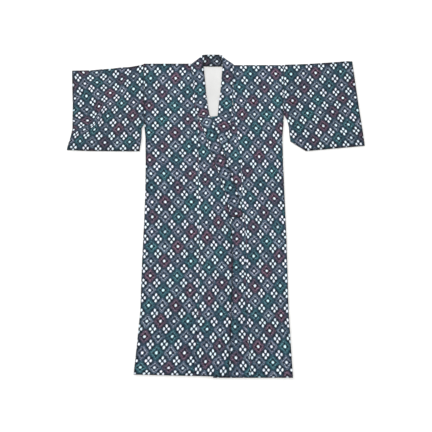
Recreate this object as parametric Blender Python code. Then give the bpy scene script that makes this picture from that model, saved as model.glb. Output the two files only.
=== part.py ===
"""A lined kimono laid out flat, with its right front over its left and its sleeves spread.

Sizes are in millimetres until the meshes are written. The sections measure "down" from
the shoulder fold towards the hem, and "across" to the right as the garment lies face up.
"""

from collections import namedtuple
import math

import bmesh
import bpy

MM = 0.001

# Cloth
WALL = 1.5  # a lined panel
LINING_WALL = 1.2
BAND_WALL = 2.5  # the collar band is the cloth folded over its own seam allowance
SEAM = 0.3  # clearance between pieces
SLEEVE_AIR = 0.8  # between the two layers of a sleeve

# Garment
HEM_LEFT = 1321  # shoulder fold to hem, upper front
HEM_RIGHT = 1330  # the lower front hangs a little longer
SHOULDER_LEFT = 4  # how far each shoulder fold lies above the zero line
SHOULDER_RIGHT = -3
CENTRE_BACK = -9
NECKLINE = 12  # the back is cut away above this line, behind the neck
NAPE_TOP = 49  # the collar stands this far above the shoulder line
COLLAR_END = 690
UPPER_JOIN, LOWER_JOIN = 236, 172  # where each overlap panel meets the collar and front
NECK_FLAP = (243, 247)  # the lower collar's inner edge turns in here, and closes the opening
UPPER_TIP, LOWER_TIP = 250, 190  # and where its blunt tip starts
LINING_MARGIN = 10  # the neck lining stops this far inside the collar's outer seams
LINING_TOP = 11
LINING_BOTTOM = 268
BAND_TOP = -47
NAPE_BOTTOM = 8
STAND = 30  # the collar comes down to the surface within this length of the shoulder line
NAPE_SECTIONS = (-33, -20, -8)  # between the top of the collar and the shoulder line
HEM_SLOPE_FROM, HEM_SLOPE_TO = (-319, -3), (50, 5)  # the upper hem's drop, at each end of it
HEM_REACH = 80  # the slope fades out this far above the hem
CENTRE_Y = (HEM_RIGHT - NAPE_TOP) / 2  # brings the middle of the length to the origin

# A row for each section of the body, where the edges and seams cross it
Section = namedtuple(
    "Section",
    "down side_left upper_seam upper_band_seam upper_band_edge upper_front_edge "
    "lower_front_edge lower_band_edge lower_band_seam lower_seam side_right",
)
SECTIONS = [
    Section(-47, None, None, -60, -52, None, None, 22, 26, None, None),
    Section(-33, None, None, -74, -52, None, None, 24, 38, None, None),
    Section(0, -319, None, -111, -55, None, None, 30, 79, None, 300.5),
    Section(62, -316, None, -98, -49, None, None, 25, 77, None, 298),
    Section(124, -314, None, -95, -44, None, None, 20, 76, None, 295.5),
    Section(172, -312, None, -91, -38, None, None, 14, 73, 74, 293.5),
    Section(236, -310, -79, -79, -28, None, None, 8, 68, 81, 292.5),
    Section(243, -310, -79, -76.8, -24.2, None, None, 7, 67.3, 81.7, 292.3),
    Section(247, -310, -79, -75.5, -22.1, None, None, -26, 66.9, 82.1, 292.1),
    Section(277, -309, -78, -66, -6, None, None, -25, 64, 85, 291),
    Section(337, -301, -77, -43, 11, None, None, -25, 57, 93, 284.5),
    Section(453, -297, -73, -5, 49, None, None, -28, 34, 106, 284),
    Section(572, -295, -71, 36, 88, None, None, -48, 8, 111, 286),
    Section(690, -296, -70, 61, 115, 61, -12, -68, -12, 120, 288),
    Section(743, -297, -70, None, None, 65, -11, None, None, 123, 289),
    Section(872, -300, -66, None, None, 70, -11, None, None, 123, 290),
    Section(998, -301, -66, None, None, 66, -12, None, None, 121, 290),
    Section(1073, -301, -70, None, None, 62, -12, None, None, 123, 290),
    Section(1148, -307, -74, None, None, 61, -13, None, None, 126, 293),
    Section(1206, -311, -77, None, None, 58, -12, None, None, 130, 295),
    Section(1330, -321, -88, None, None, 50, -11, None, None, 136, 300),
]

# A row for each section of a sleeve, from its top fold to its bottom seam
SleeveRow = namedtuple("SleeveRow", "down body_side cuff")
SLEEVE_LEFT = [
    SleeveRow(0, -319.5, -632),
    SleeveRow(62, -316.5, -628),
    SleeveRow(124, -314.5, -624),
    SleeveRow(172, -312.5, -620),
    SleeveRow(236, -310.5, -618),
    SleeveRow(281, -309.8, -616),
    SleeveRow(299, -319, -615),
    SleeveRow(341, -318, -621),
    SleeveRow(400, -325, -634),
]
SLEEVE_RIGHT = [
    SleeveRow(0, 301, 602),
    SleeveRow(62, 298.5, 606),
    SleeveRow(124, 296, 611),
    SleeveRow(172, 294, 615),
    SleeveRow(236, 293, 620),
    SleeveRow(259, 306.5, 622),
    SleeveRow(290, 313, 625),
    SleeveRow(335, 316, 629),
    SleeveRow(358, 318, 631),
    SleeveRow(400, 381, 634),
]
# How far a sleeve's top fold and bottom seam lie above its rows, by the share of the way from
# the body to the cuff
SleeveLift = namedtuple("SleeveLift", "share top bottom")
LIFT_LEFT = [
    SleeveLift(0, 0, 0.5),
    SleeveLift(0.05, -4, 0.5),
    SleeveLift(0.16, -11, 0.5),
    SleeveLift(0.22, -13.5, 0.5),
    SleeveLift(0.33, -15, 0.7),
    SleeveLift(0.42, -19.8, 1),
    SleeveLift(0.6, -24, 1.5),
    SleeveLift(0.73, -28.4, 2),
    SleeveLift(1, -29.8, 6),
]
LIFT_RIGHT = [
    SleeveLift(0, -2, 1),
    SleeveLift(0.35, 2, 9.4),
    SleeveLift(0.61, 7.5, 15.6),
    SleeveLift(0.8, 12, 20.2),
    SleeveLift(0.92, 15.5, 23),
    SleeveLift(1, 14.5, 25),
]
SLEEVE_COLUMNS = 25
SLEEVE_STEP = 26  # the most between a sleeve's sections

# The largest folds, as soft ridges: their middle, direction from +X, and size
Fold = namedtuple("Fold", "across down turn length width height")
SLEEVE_LEFT_FOLDS = [
    Fold(-532, 150, 94, 250, 42, 4.6),
    Fold(-582, 252, -32, 170, 36, 4.6),
    Fold(-590, 318, 38, 130, 36, 3.0),
    Fold(-470, 300, 28, 130, 40, 2.2),
]
SLEEVE_RIGHT_FOLDS = [
    Fold(334, 50, 10, 100, 34, 3.2),
    Fold(334, 150, -16, 110, 34, 3.4),
    Fold(500, 330, -12, 190, 50, 2.6),
    Fold(560, 120, 82, 190, 46, 2.0),
]
BODY_FOLDS = [
    Fold(-215, 420, 82, 330, 60, 3.2),
    Fold(205, 900, 96, 380, 60, 2.8),
    Fold(-190, 1010, 100, 300, 60, 2.8),
    Fold(250, 420, 100, 240, 46, 2.2),
]

# The grid that a panel is built on
FINE_STEP = 20  # between the sections while the collar crosses the front
COARSE_STEP = 32
FINE_FROM = 100
CLOSEST = 6  # a regular section this near a special one is left out
FOLD_TURNS = 4  # steps round a folded edge
# How far a lower piece goes on holding an upper one up, past its edge, and how far it takes
# to come down
HOLD_ACROSS, RAMP_ACROSS = 15, 40
HOLD_DOWN, RAMP_DOWN = 46, 70

PLAIN_COLUMNS = [0, 0.1, 0.2, 0.3, 0.4, 0.5, 0.6, 0.7, 0.8, 0.9, 1]
UPPER_FRONT_COLUMNS = [0, 0.1, 0.2, 0.3, 0.4, 0.5, 0.6, 0.7, 0.77, 0.83, 0.89, 0.94, 1]
OVERLAP_COLUMNS = [i / 10 for i in range(11)]
BAND_COLUMNS = [i / 4 for i in range(5)]


def line(name):
    """The edge or seam of this name, as a function of the distance down."""
    known = [(row.down, getattr(row, name)) for row in SECTIONS if getattr(row, name) is not None]
    return table_line([down for down, _ in known], [across for _, across in known])


def table_line(downs, values):
    """Straight stretches through the values, level before the first and after the last."""

    def value(down):
        if down <= downs[0]:
            return values[0]
        for i in range(1, len(downs)):
            if down <= downs[i]:
                share = (down - downs[i - 1]) / (downs[i] - downs[i - 1])
                return values[i - 1] + share * (values[i] - values[i - 1])
        return values[-1]

    return value


def smooth(share):
    """0 below 0, 1 above 1, and a soft step between."""
    share = min(1.0, max(0.0, share))
    return share * share * (3 - 2 * share)


def ridge(folds, across, down):
    """How high the folds stand here."""
    height = 0.0
    for fold in folds:
        turn = math.radians(fold.turn)
        dx, dy = across - fold.across, fold.down - down
        along = dx * math.cos(turn) + dy * math.sin(turn)
        aside = -dx * math.sin(turn) + dy * math.cos(turn)
        near = smooth(1 - abs(aside) / fold.width) * smooth(1.5 - 2 * abs(along) / fold.length)
        height = max(height, fold.height * near)
    return height


def all_stations():
    """Every section. The pieces share them, so that they stack and their seams run alike."""
    found = {-NAPE_TOP, BAND_TOP, NAPE_BOTTOM, LINING_TOP, NECKLINE, *NAPE_SECTIONS}
    found |= {LOWER_JOIN, LOWER_TIP, UPPER_JOIN, UPPER_TIP, LINING_BOTTOM, *NECK_FLAP}
    found |= {COLLAR_END, HEM_LEFT, HEM_RIGHT}
    down = 0
    while down < HEM_LEFT:
        if min(abs(down - other) for other in found) > CLOSEST:
            found.add(down)
        down += FINE_STEP if FINE_FROM <= down < COLLAR_END else COARSE_STEP
    return sorted(found | {0})


def stations(first, last):
    return [down for down in all_stations() if first <= down <= last]


def between(downs, most):
    """These sections, with others spaced evenly between those that lie far apart."""
    found = [downs[0]]
    for start, end in zip(downs, downs[1:]):
        parts = math.ceil((end - start) / most)
        found += [start + (end - start) * part / parts for part in range(1, parts + 1)]
    return found


class Piece:
    """A piece that lies between two lines, on whatever is below it."""

    def __init__(self, first, last, left, right, wall, below, sloped=False):
        self.first, self.last = first, last
        self.left, self.right = left, right
        self.wall, self.below = wall, below
        self.sloped = sloped

    def hang(self, across, down):
        """How far down this point of the piece really lies, with the slope of its hem."""
        if not self.sloped:
            return down
        drop = table_line(*zip(HEM_SLOPE_FROM, HEM_SLOPE_TO))(across)
        return down + drop * smooth((down - self.last + HEM_REACH) / HEM_REACH)

    def base(self, across, down):
        """The height of its underside."""
        on_back = WALL + SEAM
        rises = [
            (piece.base(across, down) + piece.wall + SEAM - on_back) * piece.holds(across, down)
            for piece in self.below
        ]
        return on_back * smooth((down + STAND) / STAND) + max(rises, default=0)

    def holds(self, across, down):
        """1 over the piece and close to it, falling to 0 away from it."""
        clamped = min(max(down, self.first), self.last)
        out_across = max(self.left(clamped) - across, across - self.right(clamped))
        out_down = max(self.first - down, down - self.last)
        return smooth((HOLD_ACROSS + RAMP_ACROSS - out_across) / RAMP_ACROSS) * smooth(
            (HOLD_DOWN + RAMP_DOWN - out_down) / RAMP_DOWN
        )


# The lines that bound each piece
SIDE_LEFT, SIDE_RIGHT = line("side_left"), line("side_right")
UPPER_SEAM, LOWER_SEAM = line("upper_seam"), line("lower_seam")
UPPER_BAND_SEAM, UPPER_BAND_EDGE = line("upper_band_seam"), line("upper_band_edge")
LOWER_BAND_SEAM, LOWER_BAND_EDGE = line("lower_band_seam"), line("lower_band_edge")
UPPER_FRONT_EDGE, LOWER_FRONT_EDGE = line("upper_front_edge"), line("lower_front_edge")


def joined(above, below, at):
    """One line as far as a distance down, and another from there."""
    return lambda down: above(down) if down <= at else below(down)


def moved(edge, by):
    return lambda down: edge(down) + by


UPPER_FRONT_INNER = joined(UPPER_BAND_SEAM, UPPER_SEAM, UPPER_JOIN)
LOWER_FRONT_INNER = joined(LOWER_BAND_SEAM, LOWER_SEAM, LOWER_JOIN)
UPPER_OVERLAP_EDGE = joined(UPPER_BAND_SEAM, UPPER_FRONT_EDGE, COLLAR_END)
LOWER_OVERLAP_EDGE = joined(LOWER_BAND_SEAM, LOWER_FRONT_EDGE, COLLAR_END)

lining = Piece(
    LINING_TOP,
    LINING_BOTTOM,
    moved(UPPER_BAND_SEAM, LINING_MARGIN),
    moved(LOWER_BAND_SEAM, -LINING_MARGIN),
    LINING_WALL,
    [],
)
lower_front = Piece(0, HEM_RIGHT, LOWER_FRONT_INNER, SIDE_RIGHT, WALL, [])
lower_overlap = Piece(LOWER_TIP, HEM_RIGHT, LOWER_OVERLAP_EDGE, moved(LOWER_SEAM, -SEAM), WALL, [])
lower_band = Piece(
    BAND_TOP, COLLAR_END, LOWER_BAND_EDGE, moved(LOWER_BAND_SEAM, -SEAM), BAND_WALL, [lining]
)
nape = Piece(
    -NAPE_TOP,
    NAPE_BOTTOM,
    moved(UPPER_BAND_EDGE, SEAM),
    moved(LOWER_BAND_EDGE, -SEAM),
    BAND_WALL,
    [],
)
upper_front = Piece(
    0, HEM_LEFT, SIDE_LEFT, UPPER_FRONT_INNER, WALL, [lower_overlap, lower_band], sloped=True
)
upper_overlap = Piece(
    UPPER_TIP,
    HEM_LEFT,
    moved(UPPER_SEAM, SEAM),
    UPPER_OVERLAP_EDGE,
    WALL,
    [lining, lower_overlap, lower_band],
    sloped=True,
)
upper_band = Piece(
    BAND_TOP,
    COLLAR_END,
    moved(UPPER_BAND_SEAM, SEAM),
    UPPER_BAND_EDGE,
    BAND_WALL,
    [lining, lower_front, lower_overlap, lower_band],
)


def clear_the_scene():
    for obj in list(bpy.data.objects):
        bpy.data.objects.remove(obj, do_unlink=True)


def cloth(name, colour, roughness):
    """The plain finish of one piece."""
    material = bpy.data.materials.new(name)
    material.use_nodes = True
    shader = material.node_tree.nodes["Principled BSDF"]
    shader.inputs["Base Color"].default_value = (*colour, 1)
    shader.inputs["Roughness"].default_value = roughness
    shader.inputs["Metallic"].default_value = 0
    return material


def solid(name, outer, inner, closed, colour=(0.045, 0.075, 0.095)):
    """A wall between two grids of points, row by row; a closed one's last row meets its first."""
    mesh = bmesh.new()
    skins = [[[mesh.verts.new(point) for point in row] for row in grid] for grid in (outer, inner)]
    rows, columns = len(outer), len(outer[0])
    for r in range(rows if closed else rows - 1):
        after = (r + 1) % rows
        for c in range(columns - 1):
            for skin in skins:
                mesh.faces.new((skin[r][c], skin[r][c + 1], skin[after][c + 1], skin[after][c]))
        for c in (0, columns - 1):
            mesh.faces.new([skins[0][r][c], skins[0][after][c], skins[1][after][c], skins[1][r][c]])
    for r in () if closed else (0, rows - 1):
        for c in range(columns - 1):
            mesh.faces.new([skins[0][r][c], skins[0][r][c + 1], skins[1][r][c + 1], skins[1][r][c]])
    bmesh.ops.recalc_face_normals(mesh, faces=mesh.faces)
    bmesh.ops.triangulate(mesh, faces=mesh.faces)
    data = bpy.data.meshes.new(name)
    mesh.to_mesh(data)
    mesh.free()
    data.shade_smooth()
    data.set_sharp_from_angle(angle=math.radians(40))
    data.materials.append(cloth(name, colour, 0.75))
    obj = bpy.data.objects.new(name, data)
    bpy.context.scene.collection.objects.link(obj)
    return obj


def place(across, down, height):
    return (across * MM, (CENTRE_Y - down) * MM, height * MM)


def panel(name, piece, columns, folds=(), **look):
    """A single layer: an overlap panel, a run of the collar band or the lining."""
    top, bottom = [], []
    for down in stations(piece.first, piece.last):
        left, right = piece.left(down), piece.right(down)
        top.append([])
        bottom.append([])
        for share in columns:
            across = left + share * (right - left)
            base = piece.base(across, down) + ridge(folds, across, down)
            top[-1].append(place(across, piece.hang(across, down), base + piece.wall))
            bottom[-1].append(place(across, piece.hang(across, down), base))
    return solid(name, top, bottom, False, **look)


def body_strip(name, front, outer_side, shoulder, columns):
    """Front and back in one length: up the back, over the shoulder fold and down the front."""
    middle = (2 * WALL + SEAM) / 2
    outer, inner = [], []

    def row(left, right, shares, point):
        outer.append([])
        inner.append([])
        for share in shares:
            across = left + share * (right - left)
            for grid, depth in ((outer, 0), (inner, WALL)):
                grid[-1].append(place(*point(across, depth)))

    def side(down):
        return SIDE_LEFT(down) if outer_side < 0 else SIDE_RIGHT(down)

    def centre():
        return CENTRE_BACK + (-SEAM / 2 if outer_side < 0 else SEAM / 2)

    back_rows = stations(NECKLINE, front.last)[::-1]
    for down in back_rows:
        left, right = sorted((side(down), centre()))
        row(left, right, columns, lambda across, depth: (across, front.hang(across, down), depth))
    neck_x = front.right(0) if outer_side < 0 else front.left(0)
    left, right = sorted((side(0), neck_x))
    for step in range(FOLD_TURNS + 1):
        angle = math.pi * (step / FOLD_TURNS - 0.5)

        def round_the_fold(across, depth):
            radius = middle - depth
            return (
                across,
                -shoulder - radius * math.cos(angle),
                middle + radius * math.sin(angle),
            )

        row(left, right, columns, round_the_fold)
    for down in stations(0, front.last)[1:]:

        def on_the_front(across, depth):
            lift = front.base(across, down) + ridge(BODY_FOLDS, across, down)
            return across, front.hang(across, down), lift + WALL - depth

        row(front.left(down), front.right(down), columns, on_the_front)
    return solid(name, outer, inner, False)


def sleeve(name, rows, lifts, folds):
    """A strip folded along the top and seamed along the bottom, open at the cuff and body."""
    body_line = table_line([row.down for row in rows], [row.body_side for row in rows])
    cuff_line = table_line([row.down for row in rows], [row.cuff for row in rows])
    top_lift = table_line([lift.share for lift in lifts], [lift.top for lift in lifts])
    bottom_lift = table_line([lift.share for lift in lifts], [lift.bottom for lift in lifts])
    length = rows[-1].down
    middle = (2 * WALL + SLEEVE_AIR) / 2
    downs = between([row.down for row in rows], SLEEVE_STEP)
    outer, inner = [], []

    def row(down, point):
        outer.append([])
        inner.append([])
        for column in range(SLEEVE_COLUMNS):
            share = column / (SLEEVE_COLUMNS - 1)
            across = body_line(down) + share * (cuff_line(down) - body_line(down))
            here = down - top_lift(share) * (1 - down / length) - bottom_lift(share) * down / length
            for grid, depth in ((outer, 0), (inner, WALL)):
                grid[-1].append(place(*point(across, here, depth)))

    def round_an_edge(turn):
        def point(across, here, depth):
            radius = middle - depth
            return across, here - radius * math.cos(turn), middle + radius * math.sin(turn)

        return point

    def on_top(across, here, depth):
        height = 2 * middle - depth + ridge(folds, across, here)
        return across, here, height

    for down in downs[1:-1]:
        row(down, on_top)
    for step in range(FOLD_TURNS + 1):
        row(length, round_an_edge(math.pi / 2 + math.pi * step / FOLD_TURNS))
    for down in downs[-2:0:-1]:
        row(down, lambda across, here, depth: (across, here, depth))
    for step in range(FOLD_TURNS + 1):
        row(0, round_an_edge(-math.pi / 2 + math.pi * step / FOLD_TURNS))
    return solid(name, outer, inner, True)


def main():
    clear_the_scene()
    body_strip("body_left", upper_front, -1, SHOULDER_LEFT, UPPER_FRONT_COLUMNS)
    body_strip("body_right", lower_front, 1, SHOULDER_RIGHT, PLAIN_COLUMNS)
    panel("neck_lining", lining, PLAIN_COLUMNS, colour=(0.83, 0.81, 0.75))
    panel("okumi_lower", lower_overlap, PLAIN_COLUMNS)
    panel("okumi_upper", upper_overlap, OVERLAP_COLUMNS)
    panel("collar_lower", lower_band, BAND_COLUMNS)
    panel("collar_upper", upper_band, BAND_COLUMNS)
    panel("collar_nape", nape, BAND_COLUMNS)
    sleeve("sleeve_left", SLEEVE_LEFT, LIFT_LEFT, SLEEVE_LEFT_FOLDS)
    sleeve("sleeve_right", SLEEVE_RIGHT, LIFT_RIGHT, SLEEVE_RIGHT_FOLDS)


main()
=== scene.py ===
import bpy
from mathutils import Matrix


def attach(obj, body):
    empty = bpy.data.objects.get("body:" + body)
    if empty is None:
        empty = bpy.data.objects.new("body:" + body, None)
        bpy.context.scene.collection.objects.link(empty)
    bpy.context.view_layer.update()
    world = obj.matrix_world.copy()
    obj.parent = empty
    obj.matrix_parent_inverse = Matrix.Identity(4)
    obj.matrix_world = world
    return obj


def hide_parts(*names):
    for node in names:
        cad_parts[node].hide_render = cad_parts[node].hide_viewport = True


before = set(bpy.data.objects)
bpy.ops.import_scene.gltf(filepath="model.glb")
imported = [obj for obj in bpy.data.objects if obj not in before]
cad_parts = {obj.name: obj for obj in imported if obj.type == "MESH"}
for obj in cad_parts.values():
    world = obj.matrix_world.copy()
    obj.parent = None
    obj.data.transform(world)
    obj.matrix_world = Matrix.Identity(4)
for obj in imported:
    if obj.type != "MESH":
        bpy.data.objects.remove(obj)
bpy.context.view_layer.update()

from collections import namedtuple
from functools import partial
import math

import bmesh
import bpy
from bpy.props import FloatProperty, FloatVectorProperty, PointerProperty
from mathutils import Vector, noise

bl_info = {
    "name": "Lined kimono, laid flat",
    "version": (1, 0, 0),
    "blender": (4, 5, 0),
    "location": "3D View > Sidebar > Kimono",
    "description": "Makes the cloth, ikat silk and sewing of a lined kimono over its solids",
    "category": "Object",
}

MM = 0.001

# Cut of the garment, in millimetres: "down" from the shoulder fold, "across" to the right

# Thickness of the silk with its lining, of the lining in the neck and of the collar band, then
# the gap at a seam and the air inside a sleeve
WALL, LINING_WALL, BAND_WALL = 1.5, 1.2, 2.5
SEAM = 0.3
SLEEVE_AIR = 0.8
# How far down the hems are, how high the shoulder folds are above zero, and the back's middle
# seam and neckline
HEM_LEFT, HEM_RIGHT = 1321, 1330
SHOULDER_LEFT, SHOULDER_RIGHT = 4, -3
CENTRE_BACK = -9
NECKLINE = 12
# The collar band behind the neck, and on the fronts, and how much fuller it is in its middle
NAPE_TOP, NAPE_BOTTOM = 49, 8
BAND_TOP, COLLAR_END = -47, 690
BAND_CROWN = 0.9
# Where a front leaves the band for its overlap panel, and where that panel's tip is
UPPER_JOIN, LOWER_JOIN = 236, 172
UPPER_TIP, LOWER_TIP = 250, 190
# Between these the lower band widens, hidden under the upper front
NECK_FLAP = (243, 247)
# At these places across, the upper front's hem is lower by so much, over its last stretch
HEM_SLOPE = ((-319, 50), (-3, 5))
HEM_REACH = 80
# How far the neck's lining goes in under the bands, and its top and bottom
LINING_MARGIN, LINING_TOP, LINING_BOTTOM = 10, 11, 268
# Over this stretch above the shoulders the collar climbs from the floor onto the back
STAND = 30
CENTRE_Y = (HEM_RIGHT - NAPE_TOP) / 2
# Widths that set the number of columns in the mesh of a body length and of a sleeve
BODY_WIDTH, SLEEVE_WIDTH = 240, 315
FOLD_STEPS = 8
# From a column or row of flowers to the next, where the cloth lies straight
PITCH_ACROSS, PITCH_ALONG = 53.5, 61

Section = namedtuple(
    "Section",
    "down side_left upper_seam upper_band_seam upper_band_edge upper_front_edge "
    "lower_front_edge lower_band_edge lower_band_seam lower_seam side_right",
)
SECTIONS = [
    Section(-47, None, None, -60, -52, None, None, 22, 26, None, None),
    Section(-33, None, None, -74, -52, None, None, 24, 38, None, None),
    Section(0, -319, None, -111, -55, None, None, 30, 79, None, 300.5),
    Section(62, -316, None, -98, -49, None, None, 25, 77, None, 298),
    Section(124, -314, None, -95, -44, None, None, 20, 76, None, 295.5),
    Section(172, -312, None, -91, -38, None, None, 14, 73, 74, 293.5),
    Section(236, -310, -79, -79, -28, None, None, 8, 68, 81, 292.5),
    Section(243, -310, -79, -76.8, -24.2, None, None, 7, 67.3, 81.7, 292.3),
    Section(247, -310, -79, -75.5, -22.1, None, None, -26, 66.9, 82.1, 292.1),
    Section(277, -309, -78, -66, -6, None, None, -25, 64, 85, 291),
    Section(337, -301, -77, -43, 11, None, None, -25, 57, 93, 284.5),
    Section(453, -297, -73, -5, 49, None, None, -28, 34, 106, 284),
    Section(572, -295, -71, 36, 88, None, None, -48, 8, 111, 286),
    Section(690, -296, -70, 61, 115, 61, -12, -68, -12, 120, 288),
    Section(743, -297, -70, None, None, 65, -11, None, None, 123, 289),
    Section(872, -300, -66, None, None, 70, -11, None, None, 123, 290),
    Section(998, -301, -66, None, None, 66, -12, None, None, 121, 290),
    Section(1073, -301, -70, None, None, 62, -12, None, None, 123, 290),
    Section(1148, -307, -74, None, None, 61, -13, None, None, 126, 293),
    Section(1206, -311, -77, None, None, 58, -12, None, None, 130, 295),
    Section(1330, -321, -88, None, None, 50, -11, None, None, 136, 300),
]
SleeveRow = namedtuple("SleeveRow", "down body_side cuff")
SLEEVE_LEFT = [
    SleeveRow(0, -319.5, -632),
    SleeveRow(62, -316.5, -628),
    SleeveRow(124, -314.5, -624),
    SleeveRow(172, -312.5, -620),
    SleeveRow(236, -310.5, -618),
    SleeveRow(281, -309.8, -616),
    SleeveRow(299, -319, -615),
    SleeveRow(341, -318, -621),
    SleeveRow(400, -325, -634),
]
SLEEVE_RIGHT = [
    SleeveRow(0, 301, 602),
    SleeveRow(62, 298.5, 606),
    SleeveRow(124, 296, 611),
    SleeveRow(172, 294, 615),
    SleeveRow(236, 293, 620),
    SleeveRow(259, 306.5, 622),
    SleeveRow(290, 313, 625),
    SleeveRow(335, 316, 629),
    SleeveRow(358, 318, 631),
    SleeveRow(400, 381, 634),
]
# How far a sleeve's top fold and bottom seam lie above its rows, by the share of the way from
# the body to the cuff
SleeveLift = namedtuple("SleeveLift", "share top bottom")
LIFT_LEFT = [
    SleeveLift(0, 0, 0.5),
    SleeveLift(0.05, -4, 0.5),
    SleeveLift(0.16, -11, 0.5),
    SleeveLift(0.22, -13.5, 0.5),
    SleeveLift(0.33, -15, 0.7),
    SleeveLift(0.42, -19.8, 1),
    SleeveLift(0.6, -24, 1.5),
    SleeveLift(0.73, -28.4, 2),
    SleeveLift(1, -29.8, 6),
]
LIFT_RIGHT = [
    SleeveLift(0, -2, 1),
    SleeveLift(0.35, 2, 9.4),
    SleeveLift(0.61, 7.5, 15.6),
    SleeveLift(0.8, 12, 20.2),
    SleeveLift(0.92, 15.5, 23),
    SleeveLift(1, 14.5, 25),
]

# How the pattern lies on each piece: by a known column of flowers, how far across and down each
# row of the chart meets it, and how far apart the columns are there. A row slopes as given at
# these distances down, or else it crosses its column squarely
Weave = namedtuple("Weave", "column rows row_slope")
WeaveRow = namedtuple("WeaveRow", "row across down spacing")
LEFT_FRONT_WEAVE = Weave(
    4,
    [
        (0, -201, 33, 55), (1, -205, 98, 55), (2, -206, 162, 55), (3, -206, 225, 56),
        (4, -204, 287, 56), (6, -198, 411, 57), (7, -193, 471, 56), (8, -189, 532, 54.5),
        (9, -186, 593, 54.5), (10, -182, 657, 54.3), (12, -182, 782, 54.2), (14, -183, 903, 54),
        (16, -186, 1021, 54), (17, -190, 1083, 54.3), (18, -196, 1144, 54.5),
        (19, -203, 1203, 55), (20, -209, 1267, 55.3), (21, -215, 1317, 55.3),
    ],
    [(0, 0), (1330, 0)],
)
RIGHT_FRONT_WEAVE = Weave(
    2,
    [
        (0, 121, 13, 56), (1, 126, 76, 55.5), (2, 132, 139, 54), (3, 139, 203, 51.5),
        (4, 141, 266, 54), (5, 151, 331, 53), (6, 157, 394, 51.5), (7, 158, 459, 51),
        (8, 160, 520, 51), (9, 165, 580, 50), (10, 172, 640, 49.5), (11, 176, 700, 49.5),
        (12, 183, 762, 50.5), (13, 181, 821, 51.5), (14, 179, 884, 52), (15, 182, 942, 51),
        (16, 183, 1004, 50.5), (17, 183, 1063, 50.5), (18, 185, 1120, 50.5),
        (19, 190, 1181, 51.4), (20, 195, 1243, 53.2), (21, 196, 1301, 54.3),
    ],
    [(0, 0), (1330, 0)],
)
UPPER_OVERLAP_WEAVE = Weave(
    1,
    [
        (0, -21, 497, 52), (1, -17, 558, 51), (2, -17, 618, 51), (3, -15, 682, 50),
        (4, -13, 743, 50), (5, -8, 807, 52), (6, -4, 868, 52), (7, -1, 929, 51),
        (8, -1, 991, 51), (9, -2, 1055, 50), (10, -7, 1116, 52), (11, -11, 1177, 51),
        (12, -12, 1240, 49), (13, -20, 1299, 49),
    ],
    [(0, 0), (1080, 0), (1140, 0.05), (1200, 0.08), (1260, 0.07), (1330, 0.04)],
)
LOWER_OVERLAP_WEAVE = Weave(
    0.5,
    [
        (0.5, 76, 297, 52), (1.5, 83, 358, 52), (2.5, 84, 420, 52), (3.5, 84, 476, 52),
        (7.5, 88, 722, 52), (8.5, 86, 781, 50), (9.5, 84, 840, 52), (10.5, 82, 899, 54),
        (11.5, 83, 951, 50), (12.5, 80, 1012, 50), (13.5, 77, 1075, 52),
        (14.5, 76, 1135, 54), (15.5, 79, 1193, 52), (16.5, 79, 1254, 54),
        (17.5, 83, 1315, 50),
    ],
    [(0, 0), (1330, 0)],
)
# The left sleeve is rumpled, so each of its flowers has its own place: across and down
LEFT_SLEEVE_FLOWERS = [
    [(-604, 63), (-549, 66), (-492, 60), (-439, 46), (-386, 37), (-333, 20)],
    [(-592, 126), (-542, 114), (-489, 112), (-436, 108), (-386, 89), (-333, 83)],
    [(-584, 185), (-533, 178), (-484, 164), (-431, 158), (-384, 152), (-331, 146)],
    [(-589, 241), (-527, 237), (-483, 214), (-437, 214), (-383, 211), (-329, 208)],
    [(-578, 285), (-526, 284), (-496, 273), (-442, 274), (-389, 271), (-336, 270)],
    [(-597, 329), (-554, 331), (-499, 334), (-445, 335), (-393, 334), (-341, 331)],
    [(-606, 385), (-554, 389), (-501, 391), (-448, 392), (-395, 390), (-342, 387)],
]
LEFT_SLEEVE_COLUMNS = [-3, -2, -1, 0, 1, 2]
# The band behind the neck runs across, so its rows do too
NAPE_CENTRE = (-48.1, -15.6)
NAPE_COLUMN, NAPE_ROW = 59, 52.6
RIGHT_SLEEVE_WEAVE = Weave(
    3,
    [
        (0, 355, 13, 54.2), (1, 358, 77, 54.5), (2, 358, 141, 54.8), (3, 363, 200, 54.5),
        (4, 375, 262, 53.8), (5, 385, 323, 54), (6, 392, 383, 54),
    ],
    [(0, -0.059), (400, -0.059)],
)
UPPER_BAND_WEAVE = Weave(
    0.5,
    [
        (0.5, -80, -5, 57), (1.5, -72, 60, 57), (2.5, -68, 123, 57),
        (3.5, -67, 181, 57), (4.5, -53, 233, 57), (5.5, -40, 272, 57),
        (6.5, -17, 332, 57), (7.5, 0, 388, 57), (8.5, 19, 446, 57),
        (9.5, 41, 503, 57), (10.5, 60, 565, 57), (11.5, 76, 622, 57),
        (12.5, 84, 675, 57),
    ],
    None,
)
LOWER_BAND_WEAVE = Weave(
    0.5,
    [
        (-0.5, 50, -6, 57), (0.5, 50, 58, 57), (1.5, 49, 123, 57),
        (2.5, 46, 185, 57), (3.5, 42, 244, 57), (4.5, 34, 291, 57),
        (10.5, -35, 640, 57),
    ],
    None,
)

# Creases, as soft ridges: middle, direction from +X, length, half width, height and bow
Crease = namedtuple("Crease", "across down turn length width height bow")
# A crease is a sharp fold on a broad swell, each a share of its height and of its half width
CRESTS = ((0.62, 0.42), (0.38, 0.95))
CREASE_SIDE = 2
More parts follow.
